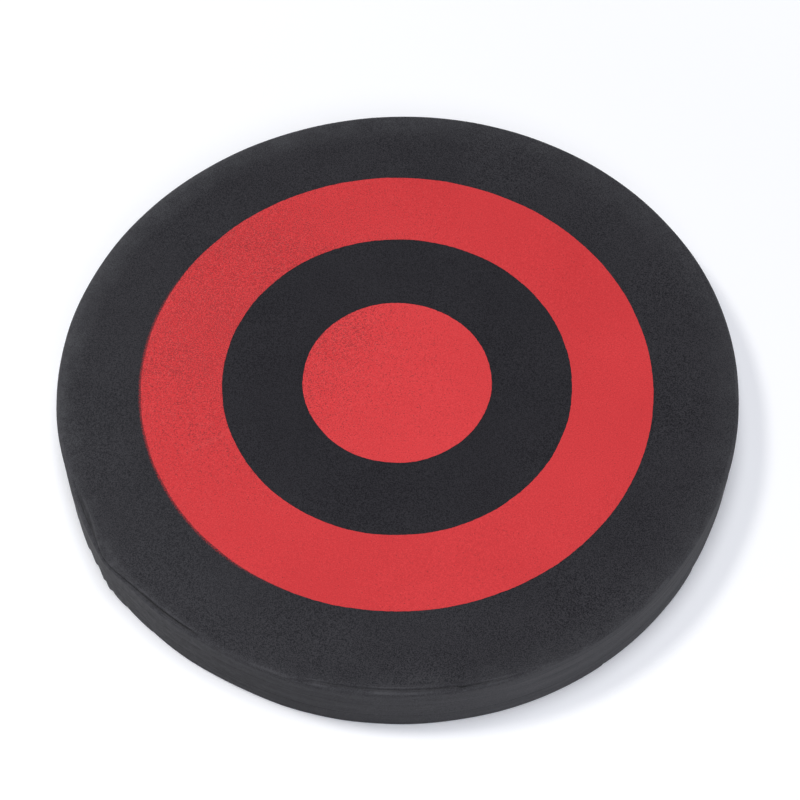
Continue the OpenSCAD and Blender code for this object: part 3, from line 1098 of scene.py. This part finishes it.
def arm_strap():
    """The forearm webbing in one length: sewn end, turn, ramp, flat, and its end folded back."""
    flat_z = HOOK_LOW.z - STRAP_T / 2
    end_x = ARM_TAIL_HIGH.x
    turn_x = joint_row("arm_strap_peel")["pos_m"][0]
    path = np.concatenate([
        eased((end_x, TAIL_MID_Z), (turn_x + 3 * MM, TAIL_MID_Z), 90)[:-1],
        eased((turn_x + 3 * MM, TAIL_MID_Z), (turn_x - 15 * MM, flat_z), 40)[:-1],
        eased((turn_x - 15 * MM, flat_z), (FLAP_LOW.x + 1 * MM, flat_z), 170),
    ])
    strap = strip("arm_strap", path, WEBBING_W, STRAP_T, ARM_Y, WEBBING.material, herringbone, across=75)
    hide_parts("arm_strap_tail", "arm_strap_flap")
    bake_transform(strap)
    arm_strap_fold(flat_z)


def arm_strap_fold(flat_z):
    """The strap's end, folded back under it and sewn down."""
    fold_end = HOOK_LOW.x + 14 * MM
    low_z = flat_z - STRAP_T
    tip = FLAP_LOW.x + STRAP_T
    bend = []
    for t in np.linspace(0.2, math.pi, 9):
        x = tip - STRAP_T * 0.98 * math.sin(t) * 0.5
        bend.append((x, flat_z - STRAP_T / 2 + STRAP_T / 2 * math.cos(t)))
    path = np.concatenate([bend[:-1], eased((tip, low_z), (fold_end, low_z), 24)])
    width, thick = WEBBING_W - 0.8 * MM, STRAP_T * 0.94
    fold = strip("arm_strap_fold", path, width, thick, ARM_Y, WEBBING.material, herringbone, across=75)
    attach(fold, "arm_strap")


def box_strip(name, node, look, body, relief, rows, across, slack, narrow=0.0):
    """A flat strip that fills a node's box, less slack in its thickness and narrow in its width."""
    low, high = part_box(node)
    middle = (low.z + high.z) / 2
    path = eased((low.x, middle), (high.x, middle), rows)
    width, thick = high.y - low.y - narrow, high.z - low.z - slack
    piece = strip(name, path, width, thick, (low.y + high.y) / 2, look.material, relief, across)
    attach(piece, body)
    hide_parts(node)
    return piece


def pile(name, low, high, z, up, spacing, height, material, body, looped):
    """Rows of tiny hooks or loops standing on a tape patch."""
    points, faces = [], []
    inset = 4 * MM
    xs = np.arange(low.x + inset, high.x - inset, spacing)
    ys = np.arange(low.y + inset, high.y - inset, spacing)
    thick = 0.13 * MM
    steps = 6
    for row, y in enumerate(ys):
        for x in xs:
            jitter = noise.noise_vector(Vector((x * 900, y * 900, z * 100)))
            shift = Vector((jitter.x, jitter.y, 0)) * spacing * 0.3
            base = Vector((x + (row % 2) * spacing / 2, y, z)) + shift
            heading = jitter.z * math.pi * (2 if looped else 0.15)
            way = Vector((math.cos(heading), math.sin(heading), 0))
            side = Vector((-way.y, way.x, 0))
            first = len(points)
            sweep = math.pi if looped else math.pi * 0.8
            for j in range(steps):
                turn = sweep * j / (steps - 1)
                out = way * height * 0.5 * (1 - math.cos(turn))
                rise = Vector((0, 0, up * height * math.sin(turn)))
                for a, b in ((-1, -1), (1, -1), (1, 1), (-1, 1)):
                    tilt = Vector((0, 0, -up * b * thick * math.sin(turn) * 0.5))
                    lean = way * b * thick * math.cos(turn) + tilt
                    points.append(base + out + rise + side * a * thick + lean)
            faces += [tuple(first + i for i in f) for f in grid_faces(steps, 4)]
            faces.append((first, first + 1, first + 2, first + 3))
            end = first + (steps - 1) * 4
            faces.append((end + 3, end + 2, end + 1, end))
    tufts = mesh_piece(name, points, faces, material.material, shade_smooth=False)
    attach(tufts, body)


hand_band(-1)
hand_band(1)
grip_sleeve()
filling = box_strip(
    "grip_filling", "grip_foam", CORE, "hand_grip", None, rows=24, across=24, slack=0.5 * MM, narrow=9 * MM,
)
sleeve_stitches()
arm_strap()
box_strip("hook_tape", "hook_patch", HOOKS, "arm_strap", nap, rows=40, across=50, slack=0.3 * MM)
pile(
    "hooks", HOOK_LOW, HOOK_HIGH, z=HOOK_HIGH.z - 0.55 * MM, up=1, spacing=1.5 * MM, height=0.5 * MM,
    material=HOOKS, body="arm_strap", looped=False,
)
tape_stitches("hook_stitches", "arm_strap", "hook_patch_stitching")
box_strip("loop_mat", "loop_backing", ANCHOR, "pad", herringbone, rows=60, across=70, slack=0.1 * MM)
box_strip("loop_tape", "loop_patch", LOOPS, "pad", nap, rows=40, across=50, slack=0.3 * MM)
pile(
    "loops", LOOP_LOW, LOOP_HIGH, z=LOOP_LOW.z + 0.3 * MM, up=-1, spacing=1.1 * MM, height=0.5 * MM,
    material=LOOPS, body="pad", looped=True,
)
tape_stitches("loop_stitches", "pad", "loop_patch_stitching")

# ------------------------ CAD nodes that keep their shape

for node, look in (
    ("hand_anchor_left", ANCHOR), ("hand_anchor_right", ANCHOR), ("arm_anchor", ANCHOR),
    ("hand_anchor_stitching", THREAD), ("arm_anchor_stitching", THREAD),
):
    for place in frame["nodes"][node].material_slots:
        place.material = look.material
